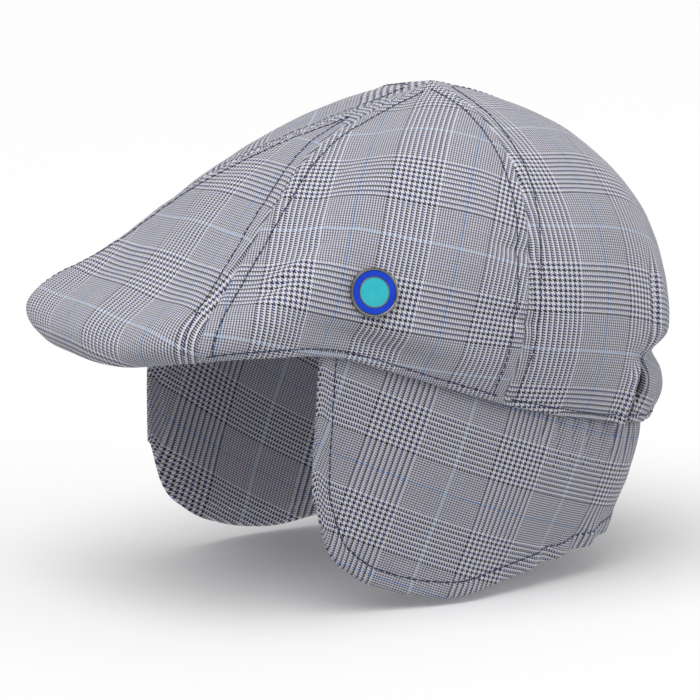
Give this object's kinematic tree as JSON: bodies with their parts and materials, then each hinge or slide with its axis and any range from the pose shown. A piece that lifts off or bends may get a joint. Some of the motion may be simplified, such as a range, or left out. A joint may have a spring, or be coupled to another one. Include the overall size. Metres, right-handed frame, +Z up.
{
  "type": "flat cap with ear flap",
  "caption": "Duckbill flat cap in grey glen check with a panelled crown, a covered peak, a gathered elastic nape, a wrap-around ear flap and a round enamel badge on the left side.",
  "frame": {"origin": "centre of the head opening, level with the rim above the ears, where a head holds the cap", "axes": "+X to the wearer's left, +Y to the back of the head, +Z up; the peak points along -Y"},
  "size_m": [0.1782, 0.2589, 0.1905],
  "materials": {
    "crown_cloth": "worsted glen check, matt",
    "peak_cloth": "worsted glen check over a stiff board, matt",
    "flap_cloth": "worsted glen check, double, matt",
    "badge_metal": "polished nickel plate",
    "badge_enamel": "blue and turquoise enamel, gloss"
  },
  "bodies": {
    "root": {"front_panel": "crown_cloth", "side_panel_left": "crown_cloth", "side_panel_right": "crown_cloth", "back_panel_left": "crown_cloth", "back_panel_right": "crown_cloth", "peak": "peak_cloth", "ear_flap": "flap_cloth", "badge_rim": "badge_metal", "badge_enamel": "badge_enamel"}
  },
  "joints": []
}
